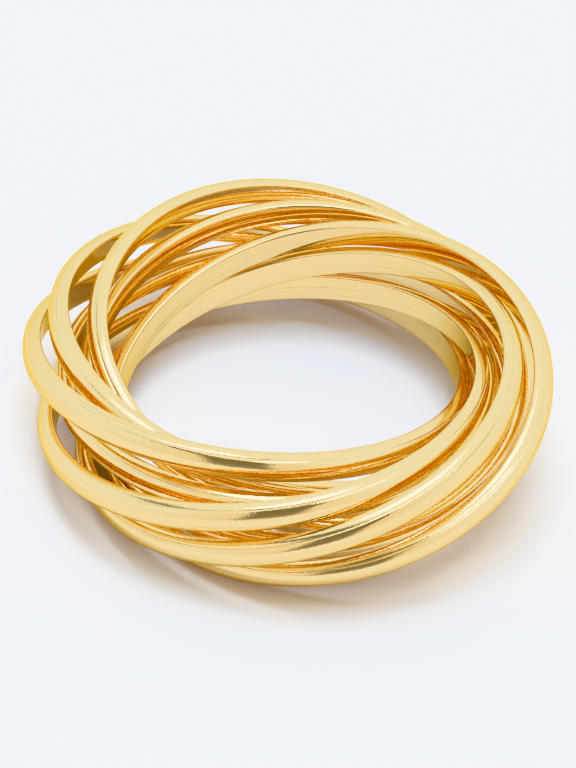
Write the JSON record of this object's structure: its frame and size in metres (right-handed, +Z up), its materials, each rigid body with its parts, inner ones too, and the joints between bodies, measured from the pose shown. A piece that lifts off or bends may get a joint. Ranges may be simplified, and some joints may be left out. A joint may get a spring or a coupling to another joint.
{
  "type": "rolling ring",
  "caption": "Finger ring made of equal, loose domed bands that pass through one another and roll over each other.",
  "frame": {"origin": "on the table, below the middle of the set's bounding box, as the ring lies on its side", "axes": "+Z up, through the finger passage; -Y towards the front"},
  "size_m": [0.0258, 0.0266, 0.0077],
  "materials": {
    "polished_gold": "mirror polished, gold plated, with faint lengthways polishing lines"
  },
  "bodies": {
    "band_1": {"band_1": "polished_gold"},
    "band_2": {"band_2": "polished_gold"},
    "band_3": {"band_3": "polished_gold"},
    "band_4": {"band_4": "polished_gold"},
    "band_5": {"band_5": "polished_gold"},
    "band_6": {"band_6": "polished_gold"},
    "band_7": {"band_7": "polished_gold"},
    "band_8": {"band_8": "polished_gold"}
  },
  "joints": [
    {"name": "band_1_turns", "type": "hinge", "parent": "band_8", "child": "band_1", "pos_m": [0.00202, -0.00159, 0.00378], "axis": [-0.2207, -0.1918, 0.9563], "continuous": true},
    {"name": "band_2_turns", "type": "hinge", "parent": "band_8", "child": "band_2", "pos_m": [0.00072, -0.00209, 0.00386], "axis": [-0.3003, -0.0157, 0.9537], "continuous": true},
    {"name": "band_3_turns", "type": "hinge", "parent": "band_8", "child": "band_3", "pos_m": [-0.00088, -0.00159, 0.00357], "axis": [-0.1797, 0.1354, 0.9744], "continuous": true},
    {"name": "band_4_turns", "type": "hinge", "parent": "band_8", "child": "band_4", "pos_m": [-0.00178, 0.00091, 0.00358], "axis": [0.0413, 0.2125, 0.9763], "continuous": true},
    {"name": "band_5_turns", "type": "hinge", "parent": "band_8", "child": "band_5", "pos_m": [-0.00088, 0.00211, 0.00307], "axis": [0.2127, 0.0732, 0.9744], "continuous": true},
    {"name": "band_6_turns", "type": "hinge", "parent": "band_8", "child": "band_6", "pos_m": [0.00112, 0.00211, 0.00342], "axis": [0.1953, -0.1698, 0.9659], "continuous": true},
    {"name": "band_7_turns", "type": "hinge", "parent": "band_8", "child": "band_7", "pos_m": [0.00112, 0.00001, 0.0039], "axis": [-0.0397, -0.1866, 0.9816], "continuous": true}
  ]
}
